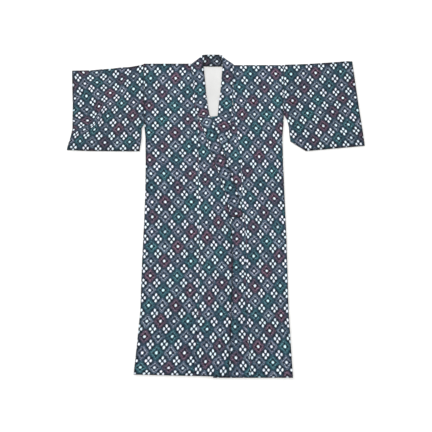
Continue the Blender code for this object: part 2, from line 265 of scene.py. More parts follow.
# Along its length it fades out from the first of these, in half lengths, over the second
CREASE_END, CREASE_FADE = 1.25, 0.8
LEFT_SLEEVE_CREASES = [
    Crease(-520, 125, 92, 200, 24, 4.6, 6),
    Crease(-492, 232, 74, 130, 18, 4.4, 8),
    Crease(-558, 304, 19, 140, 20, 4.6, -7),
    Crease(-578, 95, 100, 90, 18, 2.6, 0),
    Crease(-592, 205, 96, 120, 24, 3.0, 5),
    Crease(-610, 350, 60, 90, 26, 2.6, 0),
    Crease(-430, 320, 28, 120, 30, 1.8, 6),
    Crease(-395, 120, 102, 150, 34, 1.6, 4),
]
RIGHT_SLEEVE_CREASES = [
    Crease(330, 34, 12, 80, 13, 3.2, 3),
    Crease(328, 78, 0, 66, 12, 2.8, -2),
    Crease(326, 122, -10, 70, 12, 3.0, 2),
    Crease(326, 168, -18, 84, 13, 3.2, 3),
    Crease(328, 214, -30, 90, 13, 3.0, -3),
    Crease(500, 330, -12, 190, 40, 2.4, 6),
    Crease(560, 120, 82, 180, 40, 1.8, -8),
    Crease(420, 270, 60, 130, 30, 1.6, 5),
]
BODY_CREASES = [
    Crease(-215, 420, 82, 330, 46, 3.0, 10),
    Crease(-262, 300, 76, 170, 26, 2.0, -5),
    Crease(-190, 1010, 100, 300, 50, 2.6, -8),
    Crease(-130, 820, 84, 210, 34, 1.6, 6),
    Crease(-250, 1170, 96, 190, 32, 1.8, 6),
    Crease(205, 900, 96, 380, 50, 2.6, 8),
    Crease(250, 420, 100, 240, 34, 2.0, -6),
    Crease(160, 640, 80, 220, 34, 1.6, 5),
    Crease(190, 1180, 86, 200, 36, 1.8, -6),
    Crease(276, 52, -14, 50, 12, 2.0, 0),
    Crease(274, 100, 0, 50, 12, 2.2, 0),
    Crease(272, 146, 10, 50, 12, 2.0, 0),
    Crease(270, 196, 24, 60, 13, 2.4, 0),
]
# Gentler ones in the back, which lift the fronts with it
BACK_CREASES = [
    Crease(-175, 520, 84, 420, 60, 1.6, 10),
    Crease(-245, 980, 97, 360, 55, 1.5, -8),
    Crease(-70, 860, 92, 420, 50, 1.3, 6),
    Crease(-130, 1230, 70, 200, 40, 1.2, 5),
    Crease(120, 430, 96, 380, 60, 1.5, -8),
    Crease(215, 1060, 86, 420, 60, 1.6, 10),
    Crease(70, 1180, 98, 240, 46, 1.3, -5),
]
OVERLAP_CREASES = [
    Crease(10, 820, 84, 240, 32, 1.8, -6),
    Crease(-20, 1120, 98, 230, 34, 1.8, 6),
]


def linear(hex_colour):
    """An sRGB hex colour as linear RGB."""
    parts = [int(hex_colour[i:i + 2], 16) / 255 for i in (1, 3, 5)]
    return tuple(x / 12.92 if x <= 0.04045 else ((x + 0.055) / 1.055) ** 2.4 for x in parts)


LENGTH = {"subtype": "DISTANCE", "unit": "LENGTH"}
SHARE = {"min": 0.0, "max": 1.0, "subtype": "FACTOR"}


class KimonoCloth(bpy.types.PropertyGroup):
    crease_height: FloatProperty(
        name="Crease height",
        description="How high the creases stand, as a share of their charted height",
        default=1.0, min=0.0, max=1.5, subtype="FACTOR",
    )
    grid: FloatProperty(
        name="Grid", description="Spacing of the mesh on the fronts and sleeves",
        default=0.005, min=0.003, max=0.02, **LENGTH,
    )
    back_grid: FloatProperty(
        name="Back grid", description="Spacing of the mesh on the back",
        default=0.011, min=0.004, max=0.03, **LENGTH,
    )


class KimonoSilk(bpy.types.PropertyGroup):
    pitch_across: FloatProperty(
        name="Column pitch",
        description="Distance between two columns of flowers, across the cloth",
        default=PITCH_ACROSS * MM, **LENGTH,
    )
    pitch_along: FloatProperty(
        name="Row pitch", description="Distance between two rows of flowers, along the cloth",
        default=PITCH_ALONG * MM, **LENGTH,
    )
    feather: FloatProperty(
        name="Feathering", description="How far threads slip from the pattern, in pitches",
        default=0.17, min=0.0, max=0.5,
    )
    mottle: FloatProperty(
        name="Mottling", description="Unevenness of the ground's dye", default=0.62, **SHARE
    )
    # Painted shade on the free rims and folds, as a share of the cloth's colour
    edge_wear: FloatProperty(
        name="Painted rim shade", description="How dark rims and folds are, as a share of the cloth",
        default=0.5, **SHARE,
    )
    dark: FloatVectorProperty(
        name="Shadow", description="Darkest indigo, round the flowers", subtype="COLOR",
        default=linear("#04101e"),
    )
    ground: FloatVectorProperty(
        name="Ground", description="Indigo of the faded cells", subtype="COLOR",
        default=linear("#2a3d4b"),
    )
    white: FloatVectorProperty(
        name="White", description="Undyed dots", subtype="COLOR", default=linear("#f6faff")
    )
    teal_white: FloatVectorProperty(
        name="Stained white", description="Dots of the teal cells", subtype="COLOR",
        default=linear("#dcfdff"),
    )
    thread: FloatVectorProperty(
        name="Sewing thread", description="Sewing thread", subtype="COLOR",
        default=linear("#1d2836"),
    )
    lining: FloatVectorProperty(
        name="Lining", description="Undyed silk lining", subtype="COLOR",
        default=linear("#c8c8c7"),
    )


class KimonoSewing(bpy.types.PropertyGroup):
    spacing: FloatProperty(
        name="Stitch spacing", description="From one stitch to the next", default=0.009, **LENGTH
    )
    length: FloatProperty(
        name="Stitch length", description="Length of a stitch on the face", default=0.003,
        **LENGTH,
    )
    thread: FloatProperty(
        name="Thread", description="Radius of the sewing thread", default=0.0003, **LENGTH
    )


class KimonoStage(bpy.types.PropertyGroup):
    lens: FloatProperty(
        name="Lens", description="Focal length on a 36 mm sensor", default=48.083
    )
    tilt: FloatProperty(
        name="Tilt", description="Camera's tilt from straight down",
        default=math.radians(12.996), subtype="ANGLE",
    )
    height: FloatProperty(
        name="Height", description="Camera's height above the floor", default=2.331, **LENGTH
    )
    back: FloatProperty(
        name="Back", description="How far the camera stands back from the middle",
        default=0.5813, **LENGTH,
    )


def smooth(share):
    """0 below 0, 1 above 1, and a soft step between."""
    share = min(1.0, max(0.0, share))
    return share * share * (3 - 2 * share)


def curve(xs, ys):
    """A smooth line through the values, going on straight past the ends."""
    slopes = []
    for i in range(len(xs)):
        before, after = max(i - 1, 0), min(i + 1, len(xs) - 1)
        slopes.append((ys[after] - ys[before]) / (xs[after] - xs[before]))

    def value(x):
        if x <= xs[0]:
            return ys[0] + slopes[0] * (x - xs[0])
        if x >= xs[-1]:
            return ys[-1] + slopes[-1] * (x - xs[-1])
        i = 1
        while x > xs[i]:
            i += 1
        width = xs[i] - xs[i - 1]
        t = (x - xs[i - 1]) / width
        a, b = slopes[i - 1] * width, slopes[i] * width
        return (
            (2 * t ** 3 - 3 * t ** 2 + 1) * ys[i - 1]
            + (t ** 3 - 2 * t ** 2 + t) * a
            + (3 * t ** 2 - 2 * t ** 3) * ys[i]
            + (t ** 3 - t ** 2) * b
        )

    return value


def straight(xs, ys):
    """Straight stretches through the values, level past the ends."""

    def value(x):
        if x <= xs[0]:
            return ys[0]
        for i in range(1, len(xs)):
            if x <= xs[i]:
                return ys[i - 1] + (x - xs[i - 1]) / (xs[i] - xs[i - 1]) * (ys[i] - ys[i - 1])
        return ys[-1]

    return value


def edge(name):
    """One of the edges in the sections, as its distance across at any distance down."""
    known = [(row.down, getattr(row, name)) for row in SECTIONS if getattr(row, name) is not None]
    return straight([down for down, _ in known], [across for _, across in known])


def joined(above, below, at):
    """One line down to a point, and another from there."""
    return lambda down: above(down) if down <= at else below(down)


def moved(line, by):
    """A line a little way across."""
    return lambda down: line(down) + by


def crease(creases, across, down):
    """How high the creases stand here."""
    height = 0.0
    for c in creases:
        turn = math.radians(c.turn)
        dx, dy = across - c.across, c.down - down
        along = dx * math.cos(turn) + dy * math.sin(turn)
        share = 2 * along / c.length
        if abs(share) >= CREASE_END:
            continue
        aside = (-dx * math.sin(turn) + dy * math.cos(turn) - c.bow * share * share) / c.width
        if abs(aside) > CREASE_SIDE:
            continue
        crest = sum(part * math.exp(-((aside / width) ** 2)) for part, width in CRESTS)
        height = max(height, c.height * crest * smooth((CREASE_END - abs(share)) / CREASE_FADE))
    return height


# The unevenness of cloth that was folded and laid out: a wave's sizes across and down, its
# height, and a place of its own in the noise for each layer
BROAD_WAVE, BROAD_HEIGHT = (150, 260), 0.9
FINE_WAVE, FINE_HEIGHT = (52, 90), 0.45
MEAN_UNREST = 0.75
FRONT_SEED, SLEEVE_SEED, BACK_SEED, UNDERSIDE_SEED = 3.0, 11.0, 21.0, 31.0
BACK_UNREST, UNDERSIDE_UNREST = 0.5, 0.6
# It grows from nothing at a fold or seam over these distances
BACK_START, FRONT_START, SLEEVE_TOP_START, SLEEVE_SEAM_START = (20, 60), 60, 30, 24


def unrest(across, down, seed):
    """The slight unevenness of the cloth here, 0 to about 1.6 mm."""
    broad = noise.noise(Vector((across / BROAD_WAVE[0], down / BROAD_WAVE[1], seed)))
    fine = noise.noise(Vector((across / FINE_WAVE[0], down / FINE_WAVE[1], seed + 7)))
    return max(0.0, MEAN_UNREST + BROAD_HEIGHT * broad + FINE_HEIGHT * fine)


# How far out from a piece the cloth over it is held at its height, and over what distance it
# then comes down: across, and up or down
HOLD_ACROSS, DROP_ACROSS = 5, 30
HOLD_DOWN, DROP_DOWN = 22, 50


class Piece:
    """A piece that lies between two lines, on whatever is below it."""

    def __init__(self, first, last, left, right, wall, below, sloped=False):
        self.first, self.last = first, last
        self.left, self.right = left, right
        self.wall, self.below = wall, below
        self.sloped = sloped

    def hang(self, across, down):
        """How far down this point of the piece really lies, with the slope of its hem."""
        if not self.sloped:
            return down
        return down + HEM_DROP(across) * smooth((down - self.last + HEM_REACH) / HEM_REACH)

    def base(self, across, down):
        """The height of its underside."""
        on_back = WALL + SEAM
        rises = [
            (piece.base(across, down) + piece.wall + SEAM - on_back) * piece.holds(across, down)
            for piece in self.below
        ]
        return on_back * smooth((down + STAND) / STAND) + max(rises, default=0)

    def holds(self, across, down):
        """1 over the piece and close to it, falling to 0 away from it."""
        clamped = min(max(down, self.first), self.last)
        out_across = max(self.left(clamped) - across, across - self.right(clamped))
        out_down = max(self.first - down, down - self.last)
        beside = smooth((HOLD_ACROSS + DROP_ACROSS - out_across) / DROP_ACROSS)
        return beside * smooth((HOLD_DOWN + DROP_DOWN - out_down) / DROP_DOWN)


SIDE_LEFT, SIDE_RIGHT = edge("side_left"), edge("side_right")
UPPER_SEAM, LOWER_SEAM = edge("upper_seam"), edge("lower_seam")
UPPER_BAND_SEAM, UPPER_BAND_EDGE = edge("upper_band_seam"), edge("upper_band_edge")
LOWER_BAND_SEAM, LOWER_BAND_EDGE = edge("lower_band_seam"), edge("lower_band_edge")
UPPER_FRONT_EDGE, LOWER_FRONT_EDGE = edge("upper_front_edge"), edge("lower_front_edge")
UPPER_FRONT_INNER = joined(UPPER_BAND_SEAM, UPPER_SEAM, UPPER_JOIN)
LOWER_FRONT_INNER = joined(LOWER_BAND_SEAM, LOWER_SEAM, LOWER_JOIN)
UPPER_OVERLAP_EDGE = joined(UPPER_BAND_SEAM, UPPER_FRONT_EDGE, COLLAR_END)
LOWER_OVERLAP_EDGE = joined(LOWER_BAND_SEAM, LOWER_FRONT_EDGE, COLLAR_END)
HEM_DROP = straight(*HEM_SLOPE)

lining = Piece(
    LINING_TOP,
    LINING_BOTTOM,
    moved(UPPER_BAND_SEAM, LINING_MARGIN),
    moved(LOWER_BAND_SEAM, -LINING_MARGIN),
    LINING_WALL,
    [],
)
lower_front = Piece(0, HEM_RIGHT, LOWER_FRONT_INNER, SIDE_RIGHT, WALL, [])
lower_overlap = Piece(LOWER_TIP, HEM_RIGHT, LOWER_OVERLAP_EDGE, moved(LOWER_SEAM, -SEAM), WALL, [])
lower_band = Piece(
    BAND_TOP, COLLAR_END, LOWER_BAND_EDGE, moved(LOWER_BAND_SEAM, -SEAM), BAND_WALL, [lining]
)
nape = Piece(
    -NAPE_TOP, NAPE_BOTTOM, moved(UPPER_BAND_EDGE, SEAM), moved(LOWER_BAND_EDGE, -SEAM),
    BAND_WALL, [],
)
upper_front = Piece(
    0, HEM_LEFT, SIDE_LEFT, UPPER_FRONT_INNER, WALL, [lower_overlap, lower_band], sloped=True
)
upper_overlap = Piece(
    UPPER_TIP, HEM_LEFT, moved(UPPER_SEAM, SEAM), UPPER_OVERLAP_EDGE, WALL,
    [lining, lower_overlap, lower_band], sloped=True,
)
upper_band = Piece(
    BAND_TOP, COLLAR_END, moved(UPPER_BAND_SEAM, SEAM), UPPER_BAND_EDGE, BAND_WALL,
    [lining, lower_front, lower_overlap, lower_band],
)


def back_lie(across, down):
    """How far the back is off the floor."""
    rise = BACK_UNREST * unrest(across, down, BACK_SEED) + crease(BACK_CREASES, across, down)
    level, ramp = BACK_START
    return rise * smooth((down - level) / ramp)


def lie(across, down):
    """How far the fronts are off the back's plane, by its unrest and their own."""
    rise = unrest(across, down, FRONT_SEED) * smooth(down / FRONT_START)
    return rise + back_lie(across, down)


def place(across, down, height):
    """A point of the garment in the frame."""
    return (across * MM, (CENTRE_Y - down) * MM, height * MM)


def chart(weave):
    """The place on the cloth of a point of the garment, in columns and rows of the chart."""
    known = [WeaveRow(*numbers) for numbers in weave.rows]
    downs = [meeting.down for meeting in known]
    column_at = curve(downs, [meeting.across for meeting in known])
    row_at = curve(downs, [meeting.row for meeting in known])
    spacing_at = straight(downs, [meeting.spacing for meeting in known])
    slope_at = None
    if weave.row_slope:
        slope_at = straight([d for d, _ in weave.row_slope], [s for _, s in weave.row_slope])

    def lean(level):
        """How far the column moves across for each step down, over a stretch of 16 mm."""
        return (column_at(level + 8) - column_at(level - 8)) / 16

    def cell(across, down):
        level = down
        for _ in range(3):
            aside = across - column_at(level)
            level = down - slope_at(level) * aside if slope_at else down + lean(level) * aside
        aside = across - column_at(level)
        if not slope_at:
            aside *= math.sqrt(1 + lean(level) * lean(level))
        return weave.column + aside / spacing_at(level), row_at(level)

    return cell


def flower_chart(flowers, columns):
    """The same, where each flower has its own place."""
    rows = list(range(len(flowers)))
    across_lines = [curve(columns, [across for across, _ in row]) for row in flowers]
    down_lines = [curve(columns, [down for _, down in row]) for row in flowers]
    # About how far apart the flowers are: the first guess starts from them, and each step uses them
    guess_column, column_step, row_step = 54, 56, 62

    def lies_at(u, v):
        return (
            curve(rows, [line(u) for line in across_lines])(v),
            curve(rows, [line(u) for line in down_lines])(v),
        )

    def cell(across, down):
        """Steps to the place on the cloth that lies here."""
        u = columns[-1] + (across - flowers[0][-1][0]) / guess_column
        v = down / row_step
        for _ in range(9):
            x, y = lies_at(u, v)
            u += (across - x) / column_step
            v += (down - y) / row_step
        return u, v

    return cell


def nape_cell(across, down):
    """The chart behind the neck, from the single dot at the middle of the band."""
    column = 0.5 + (down - NAPE_CENTRE[1]) / NAPE_COLUMN
    return column, 0.5 + (across - NAPE_CENTRE[0]) / NAPE_ROW


def plain_cell(across, down):
    """Cloth that lies straight."""
    return across / PITCH_ACROSS, down / PITCH_ALONG


def steps(first, last, most):
    """Even steps from first to last, each at most this long."""
    count = max(1, math.ceil(abs(last - first) / most))
    return [first + (last - first) * i / count for i in range(count + 1)]


def stations(first, last, fixed, most):
    """Distances down from first to last, through the fixed ones, at most this far apart."""
    stops = sorted({first, last} | {stop for stop in fixed if first < stop < last})
    found = [stops[0]]
    for start, end in zip(stops, stops[1:]):
        found += steps(start, end, most)[1:]
    return found


# A rim is rounded: its faces stop short of the edge, and its middle stands out from it
RIM_SHORT, RIM_OUT = 0.00035, 0.0001
# How far the painted shade of a free rim or a fold has lifted, on the rim and on the next rows in
# from it: 0 is full shade
CLEAR_OF_RIM_SHADE = (0, 0.4, 0.8, 1)
# The sleeves are darker than the body by this factor, and the band behind the neck darker still, as
# painted shade
SLEEVE_DARKENING, NAPE_PAINTED_SHADE = 0.87, 0.6


class Grid:
    """Rows of points on the two faces of a piece, each with its place in the chart."""

    def __init__(self):
        self.outer, self.inner, self.cells = [], [], []

    def row(self, spots):
        """Adds a row: an outer point, an inner point and a cell for each of its spots."""
        for grid, values in zip((self.outer, self.inner, self.cells), zip(*spots)):
            grid.append(list(values))

    def __len__(self):
        return len(self.outer)


def sewn_wall(name, grid, closed=False, lined=True, cuts=(), worn=(), dye=1.0, seam=None):
    """A wall of cloth on a grid, with rounded rims.

    A closed one's last row meets its first. At a cut the pattern starts afresh on the next row.
    The free rims and the fold rows, where the cloth is folded, get painted shade where the cloth
    turns away from the light. The dye value darkens the whole piece: painted shade on the band
    behind the neck, a darker tone on the sleeves. The seam is the column sewn to another piece.
    """
    outer, inner, cells = grid.outer, grid.inner, grid.cells
    rows, columns = len(outer), len(outer[0])
    points, shade_values, faces, uvs, finishes = [], [], [], [], []
    silk = bpy.context.scene.kimono_silk
    pitch = (silk.pitch_across, silk.pitch_along)
    deepest = len(CLEAR_OF_RIM_SHADE) - 1
    to_fold = [
        min((min(abs(r - w), rows - abs(r - w)) for w in worn), default=deepest)
        for r in range(rows)
    ]

    def number(skin, r, c):
        """A point's place in the list of points."""
        return (skin * rows + r) * columns + c

    def outward(face, r, c):
        """The way out of the piece at a point of its rim, or nothing inside it."""
        point = Vector(face[r][c])
        found = Vector((0, 0, 0))
        if c in (0, columns - 1):
            found += (point - Vector(face[r][1 if c == 0 else columns - 2])).normalized()
        if not closed and r in (0, rows - 1):
            found += (point - Vector(face[1 if r == 0 else rows - 2][c])).normalized()
        return found

    def depth(r, c):
        """How much light the cloth keeps here: its piece's darkening and the painted shade of its
        free rims and folds.
        """
        steps_in = min(
            abs(c - side) for side in (0, columns - 1) if seam is None or side != seam % columns
        )
        if not closed:
            steps_in = min(steps_in, r, rows - 1 - r)
        clear_share = CLEAR_OF_RIM_SHADE[min(steps_in, to_fold[r], deepest)]
        return dye * (silk.edge_wear + (1 - silk.edge_wear) * clear_share)

    def corner(r, c):
        """A point's place on the cloth, in metres."""
        u, v = cells[r][c]
        return (u * pitch[0], -v * pitch[1])

    def add_face(numbers, corners, finish):
        faces.append(numbers)
        uvs.extend(corners)
        finishes.append(finish)

    for face in (outer, inner):
        for r in range(rows):
            for c in range(columns):
                points.append(Vector(face[r][c]) - outward(face, r, c) * RIM_SHORT)
                shade_values.append(depth(r, c))
    for r in range(rows if closed else rows - 1):
        after = (r + 1) % rows
        for c in range(columns - 1):
            around = [(r, c), (r, c + 1), (after, c + 1), (after, c)]
            corners = [corner(r if r in cuts else rr, cc) for rr, cc in around]
            for skin in (0, 1):
                numbers = [number(skin, rr, cc) for rr, cc in around]
                add_face(numbers, corners, skin if lined else 0)

    if closed:
        rims = [[(r, c) for r in range(rows)] for c in (0, columns - 1)]
    else:
        rim = [(0, c) for c in range(columns)]
        rim += [(r, columns - 1) for r in range(1, rows)]
        rim += [(rows - 1, c) for c in range(columns - 2, -1, -1)]
        rim += [(r, 0) for r in range(rows - 2, 0, -1)]
        rims = [rim]
    for rim in rims:
        middles = []
        for r, c in rim:
            middles.append(len(points))
            middle = (Vector(outer[r][c]) + Vector(inner[r][c])) / 2
            points.append(middle + outward(outer, r, c) * RIM_OUT)
            shade_values.append(depth(r, c))
        for i, (r, c) in enumerate(rim):
            j = (i + 1) % len(rim)
            rr, cc = rim[j]
            start, end = corner(r, c), corner(r if r in cuts else rr, cc)
            over = [number(0, r, c), number(0, rr, cc), middles[j], middles[i]]
            under = [middles[i], middles[j], number(1, rr, cc), number(1, r, c)]
            add_face(over, [start, end, end, start], 0)
            add_face(under, [start, end, end, start], 0)

    mesh = bpy.data.meshes.new(name)
    mesh.from_pydata(points, [], faces)
    layer = mesh.uv_layers.new(name="Cloth")
    layer.data.foreach_set("uv", [x for uv in uvs for x in uv])
    # Each point keeps its painted shade at rims and folds, times its piece's darkening
    mesh.attributes.new("Dye", "FLOAT", "POINT").data.foreach_set("value", shade_values)
    mesh.polygons.foreach_set("material_index", finishes)
    shaped = bmesh.new()
    shaped.from_mesh(mesh)
    bmesh.ops.recalc_face_normals(shaped, faces=shaped.faces)
    shaped.to_mesh(mesh)
    shaped.free()
    mesh.shade_smooth()
    obj = bpy.data.objects.new(name, mesh)
    obj["grid"] = (rows, columns)
    bpy.context.scene.collection.objects.link(obj)
    return obj


def dress(obj, node, outside, inside=None):
    """Gives a finished piece its cloth and puts it in the place of its solid."""
    obj.data.materials.append(outside)
    if inside:
        obj.data.materials.append(inside)
    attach(obj, "root")
    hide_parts(node)


# dye darkens the whole piece; for the band behind the neck it is painted shade
def panel(name, piece, cell, creases=(), crown=0.0, lined=True, dye=1.0, seam=None):
    """A single layer: an overlap panel, a run of the collar band or the lining."""
    cloth = bpy.context.scene.kimono_cloth
    step = cloth.grid / MM
    widest = max(piece.right(d) - piece.left(d) for d in range(int(piece.first), int(piece.last), 20))
    count = max(4, math.ceil(widest / step))
    grid = Grid()

    def spot(down, share):
        left, right = piece.left(down), piece.right(down)
        across = left + share * (right - left)
        base = piece.base(across, down) + lie(across, down)
        base += crease(creases, across, down) * cloth.crease_height
        puff = crown * (1 - (2 * share - 1) ** 4)
        hangs = piece.hang(across, down)
        top = place(across, hangs, base + piece.wall + puff)
        return top, place(across, hangs, base), cell(across, down)

    fixed = (UPPER_JOIN, LOWER_JOIN, COLLAR_END, 0, *NECK_FLAP)
    for down in stations(piece.first, piece.last, fixed, step):
        grid.row(spot(down, i / count) for i in range(count + 1))
    return sewn_wall(name, grid, lined=lined, dye=dye, seam=seam)


def body_strip(name, front, outer_side, shoulder, weave):
    """Front and back in one length: up the back, over the shoulder fold and down the front."""
    cloth = bpy.context.scene.kimono_cloth
    cell = chart(weave)
    middle = (2 * WALL + SEAM) / 2
    count = math.ceil(BODY_WIDTH / (cloth.grid / MM))
    on_left = outer_side < 0
    grid = Grid()

    def row(left, right, point, chart_here):
        """Adds a row between two distances across, from rules for its points and cells."""
        acrosses = [left + i / count * (right - left) for i in range(count + 1)]
        grid.row(
            (place(*point(across, 0)), place(*point(across, WALL)), chart_here(across))
            for across in acrosses
        )

    side = SIDE_LEFT if on_left else SIDE_RIGHT
    centre = CENTRE_BACK + (-SEAM / 2 if on_left else SEAM / 2)
    for down in stations(NECKLINE, front.last, (), cloth.back_grid / MM)[::-1]:

        def on_the_floor(across, depth):
            return across, front.hang(across, down), depth + back_lie(across, down)

        def over_the_shoulder(across):
            """The chart goes on evenly over the shoulder."""
            u, v = cell(across, 0)
            return u, v - (down + 2 * shoulder) / PITCH_ALONG

        row(*sorted((side(down), centre)), on_the_floor, over_the_shoulder)
    neck_x = front.right(0) if on_left else front.left(0)
    fold = range(len(grid), len(grid) + FOLD_STEPS + 1)
    for step in range(FOLD_STEPS + 1):
        angle = math.pi * (step / FOLD_STEPS - 0.5)

        def round_the_fold(across, depth):
            radius = middle - depth
            down = -shoulder - radius * math.cos(angle)
            return across, down, middle + radius * math.sin(angle)

        ends = sorted((side(0), neck_x))
        row(*ends, round_the_fold, lambda across: cell(across, -shoulder))
    for down in stations(0, front.last, (UPPER_JOIN, LOWER_JOIN), cloth.grid / MM)[1:]:

        def on_the_front(across, depth):
            lift = front.base(across, down) + lie(across, down)
            lift += crease(BODY_CREASES, across, down) * cloth.crease_height
            return across, front.hang(across, down), lift + WALL - depth

        row(front.left(down), front.right(down), on_the_front, lambda across: cell(across, down))
    # The rows round the shoulder fold get painted shade
    return sewn_wall(name, grid, worn=fold, seam=-1 if on_left else 0)


def sleeve(name, rows, lifts, cell, creases):
    """A strip folded along the top and seamed along the bottom, open at the cuff and body."""
    cloth = bpy.context.scene.kimono_cloth
    knots = [row.down for row in rows]
    body_line = straight(knots, [row.body_side for row in rows])
    cuff_line = straight(knots, [row.cuff for row in rows])
    shares = [lift.share for lift in lifts]
    top_lift = straight(shares, [lift.top for lift in lifts])
    bottom_lift = straight(shares, [lift.bottom for lift in lifts])
    length = knots[-1]
    middle = (2 * WALL + SLEEVE_AIR) / 2
    count = math.ceil(SLEEVE_WIDTH / (cloth.grid / MM))
    grid = Grid()

    def fall(down, share):
        """How far down this share of a row really lies."""
        return down - top_lift(share) * (1 - down / length) - bottom_lift(share) * down / length

    def spot(down, share, point, on_back):
        across = body_line(down) + share * (cuff_line(down) - body_line(down))
        here = fall(down, share)
        if on_back:
            fold = fall(0, share)
            u, v = cell(across, fold)
            chart_here = (u, v - (here - fold) / PITCH_ALONG)
        else:
            chart_here = cell(across, here)
        return place(*point(across, here, 0)), place(*point(across, here, WALL)), chart_here

    def row(down, point, on_back=False):
        grid.row(spot(down, i / count, point, on_back) for i in range(count + 1))

    def round_an_edge(turn):
        def point(across, here, depth):
            radius = middle - depth
            return across, here - radius * math.cos(turn), middle + radius * math.sin(turn)

        return point

    def swell(here):
        """0 at the fold and the seam, and 1 a little way in."""
        return smooth(here / SLEEVE_TOP_START) * smooth((length - here) / SLEEVE_SEAM_START)

    def underneath(across, here, depth):
        rise = UNDERSIDE_UNREST * unrest(across, here, UNDERSIDE_SEED)
        return across, here, depth + rise * swell(here)

    def on_top(across, here, depth):
        rise = unrest(across, here, SLEEVE_SEED)
        rise += UNDERSIDE_UNREST * unrest(across, here, UNDERSIDE_SEED)
        rise += crease(creases, across, here) * cloth.crease_height
        return across, here, 2 * middle - depth + rise * swell(here)

    for down in stations(0, length, knots, cloth.grid / MM)[1:-1]:
        row(down, on_top)
    top_rows = len(grid)
    for step in range(FOLD_STEPS + 1):
        turn = math.pi / 2 + math.pi * step / FOLD_STEPS
        row(length, round_an_edge(turn), step > FOLD_STEPS / 2)
    cut = top_rows + FOLD_STEPS // 2
    folds = set(range(top_rows, len(grid)))
    for down in stations(0, length, knots, cloth.back_grid / MM)[-2:0:-1]:
        row(down, underneath, True)
    first_of_fold = len(grid)
    for step in range(FOLD_STEPS + 1):
        turn = -math.pi / 2 + math.pi * step / FOLD_STEPS
        row(0, round_an_edge(turn), step < FOLD_STEPS / 2)
    folds |= set(range(first_of_fold, len(grid)))
    # The rows round both folds get painted shade
    obj = sewn_wall(name, grid, True, cuts={cut}, worn=folds, dye=SLEEVE_DARKENING, seam=0)
    obj["top_rows"] = top_rows
    return obj


def add(tree, kind, *values, named=None, stops=(), out=0, **settings):
    """Adds a node with its settings and links, and returns one of its outputs, or a few.

    Its inputs, by order or by name, are values or outputs of other nodes. Order counts only the
    inputs and outputs that the settings leave in use.
    """
    made = tree.nodes.new(kind)
    for name, value in settings.items():
        setattr(made, name, value)
    inputs = list(zip([socket for socket in made.inputs if socket.enabled], values))
    inputs += [(made.inputs[name], value) for name, value in (named or {}).items()]
    for socket, value in inputs:
        if isinstance(value, bpy.types.NodeSocket):
            tree.links.new(value, socket)
        elif value is not None:
            socket.default_value = value
    if stops:
        made.color_ramp.interpolation = "EASE"
        for place_at, _ in stops[2:]:
            made.color_ramp.elements.new(place_at)
        for element, (place_at, hex_colour) in zip(made.color_ramp.elements, stops):
            element.position = place_at
            element.color = (*linear(hex_colour), 1)
    outputs = [socket for socket in made.outputs if socket.enabled]
    return outputs[out] if outputs else None


MATH, VECTOR, SEPARATE = "ShaderNodeMath", "ShaderNodeVectorMath", "ShaderNodeSeparateXYZ"
RANGE, MIX, RAMP = "ShaderNodeMapRange", "ShaderNodeMix", "ShaderNodeValToRGB"
NOISE, MAPPING, BUMP = "ShaderNodeTexNoise", "ShaderNodeMapping", "ShaderNodeBump"
SOFT, COLOURS = {"interpolation_type": "SMOOTHSTEP"}, {"data_type": "RGBA"}


def material(name, finish, surface=None):
    """The material of this name, made on its first use from its finish and surface."""
    found = bpy.data.materials.get(name)
    if found:
        return found
    found = bpy.data.materials.new(name)
    found.use_nodes = True
    tree = found.node_tree
    shader = tree.nodes["Principled BSDF"]
    for socket, value in finish.items():
        shader.inputs[socket].default_value = value
    if surface:
        colour, normal = surface(partial(add, tree))
        tree.links.new(colour, shader.inputs["Base Color"])
        tree.links.new(normal, shader.inputs["Normal"])
    return found


# Colours of a cell from its single dot out to the flowers, by the sum of the shares of a pitch
# across and along: the cell's own tone, a thin undyed diamond line, a second, fainter line
# round it, and the darker ground between the flowers
GREY_DIAMOND = (
    (0, "#202c3c"), (0.2, "#2f3b4c"), (0.295, "#3f4a5b"), (0.335, "#cdced9"), (0.37, "#525d6d"),
    (0.41, "#374451"), (0.445, "#878f9f"), (0.48, "#324150"), (0.56, "#283843"), (1, "#172c38"),
)
TEAL_DIAMOND = (
    (0, "#0f2d33"), (0.2, "#173b41"), (0.295, "#214c52"), (0.335, "#7aa0a5"), (0.37, "#2d565d"),
    (0.41, "#21474e"), (0.445, "#4d7078"), (0.48, "#20414a"), (0.56, "#1d3942"), (1, "#152f39"),
)
MAROON_DIAMOND = (
    (0, "#2c1823"), (0.2, "#3c212d"), (0.295, "#4d2d3a"), (0.335, "#9a8090"), (0.37, "#563848"),
    (0.41, "#442d3a"), (0.445, "#706071"), (0.48, "#3b303c"), (0.56, "#2e303c"), (1, "#182733"),
)
# Colours change from cell to cell along a diagonal: maroon, grey, teal, grey
COLOUR_CYCLE, MAROON_TURN, TEAL_TURN = 4, 0, 2

# The undyed spots, longer along the cloth, where the dye creeps: a stretch across and along, a
# petal's place beside and above the middle of its flower, in shares of a pitch, and how many
# millimetres from its middle a spot begins to fade and ends
DOT_STRETCH, DOT_EDGE = (1, 0.88), (2.6, 6.3)
PETAL_STRETCH, PETAL_EDGE = (1.22, 0.86), (3.2, 6.6)
PETAL_BESIDE, PETAL_ABOVE = 0.172, 0.198
# Dark points: one on each diagonal of a cell, and four round its single dot
DARK_POINTS, DARK_EDGE = ((0.3, 0.3), (0.215, 0), (0, 0.2)), (2.0, 7.5)
# The dark round each flower, and where in a cell it begins
SHADOW_EDGE, SHADOW_START = (7.2, 10.5), (0.42, 0.54)
DARKNESS = 0.85

# Bundles of threads about 1.3 mm wide take the dye together, over 15 to 20 mm: repeats to the
# metre along and across them
WARP_BUNDLES, WEFT_BUNDLES = (770, 52, 1), (60, 770, 1)
STREAKS, LINE_SLIP = (0.75, 1.25), 1.2
# Where most of a noise lies, and of two added up
MOST, MOST_OF_TWO = (0.3, 0.7), (0.6, 1.4)
